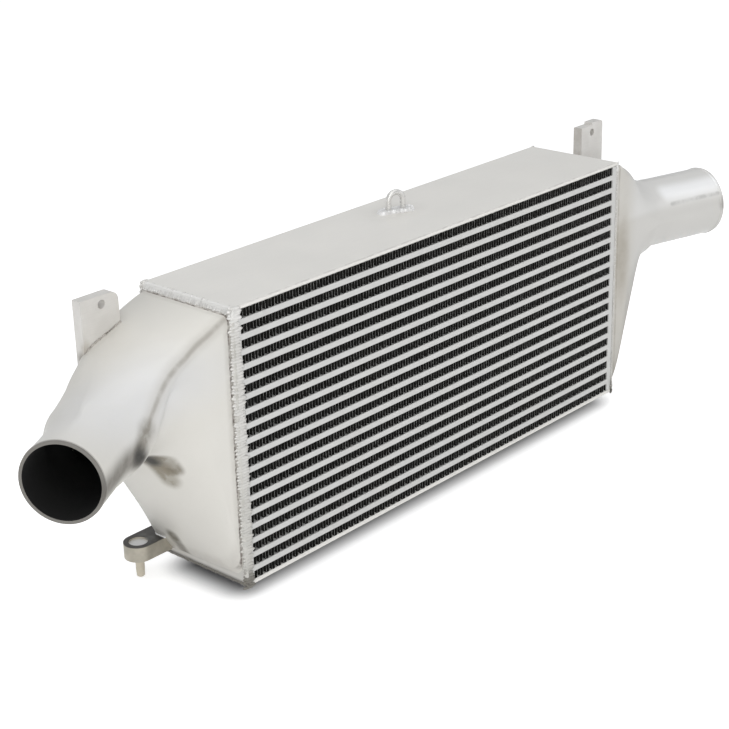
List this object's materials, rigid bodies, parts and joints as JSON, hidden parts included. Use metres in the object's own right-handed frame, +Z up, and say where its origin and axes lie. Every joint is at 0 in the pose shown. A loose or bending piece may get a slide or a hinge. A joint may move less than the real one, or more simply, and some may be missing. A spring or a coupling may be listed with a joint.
{
  "type": "air-to-air charge cooler",
  "caption": "Bar-and-plate charge air cooler with welded end tanks, a hose pipe at each end, upper brackets and a lower locating lug.",
  "frame": {"origin": "centre of the underside of the core", "axes": "+Z up, +X along the core towards the short-necked tank, -Y out of the face that meets the wind"},
  "size_m": [1.0344, 0.1721, 0.3216],
  "materials": {
    "tank_cast": "satin",
    "core_plate": "satin",
    "fin_strip": "satin",
    "weld_metal": "rough",
    "fixing_plate": "satin",
    "pin_metal": "satin"
  },
  "bodies": {
    "root": {"core_bottom_plate": "core_plate", "core_top_plate": "core_plate", "air_fin_row_01": "fin_strip", "air_fin_row_02": "fin_strip", "air_fin_row_03": "fin_strip", "air_fin_row_04": "fin_strip", "air_fin_row_05": "fin_strip", "air_fin_row_06": "fin_strip", "air_fin_row_07": "fin_strip", "air_fin_row_08": "fin_strip", "air_fin_row_09": "fin_strip", "air_fin_row_10": "fin_strip", "air_fin_row_11": "fin_strip", "air_fin_row_12": "fin_strip", "air_fin_row_13": "fin_strip", "air_fin_row_14": "fin_strip", "air_fin_row_15": "fin_strip", "air_fin_row_16": "fin_strip", "air_fin_row_17": "fin_strip", "air_fin_row_18": "fin_strip", "air_fin_row_19": "fin_strip", "charge_tube_01": "core_plate", "charge_tube_02": "core_plate", "charge_tube_03": "core_plate", "charge_tube_04": "core_plate", "charge_tube_05": "core_plate", "charge_tube_06": "core_plate", "charge_tube_07": "core_plate", "charge_tube_08": "core_plate", "charge_tube_09": "core_plate", "charge_tube_10": "core_plate", "charge_tube_11": "core_plate", "charge_tube_12": "core_plate", "charge_tube_13": "core_plate", "charge_tube_14": "core_plate", "charge_tube_15": "core_plate", "charge_tube_16": "core_plate", "charge_tube_17": "core_plate", "charge_tube_18": "core_plate", "left_header": "core_plate", "right_header": "core_plate", "left_tank": "tank_cast", "right_tank": "tank_cast", "left_weld_bead": "weld_metal", "right_weld_bead": "weld_metal", "left_bracket": "fixing_plate", "right_bracket": "fixing_plate", "lower_lug": "fixing_plate", "lower_pin": "pin_metal", "top_loop": "fixing_plate", "top_loop_weld": "weld_metal"}
  },
  "joints": []
}
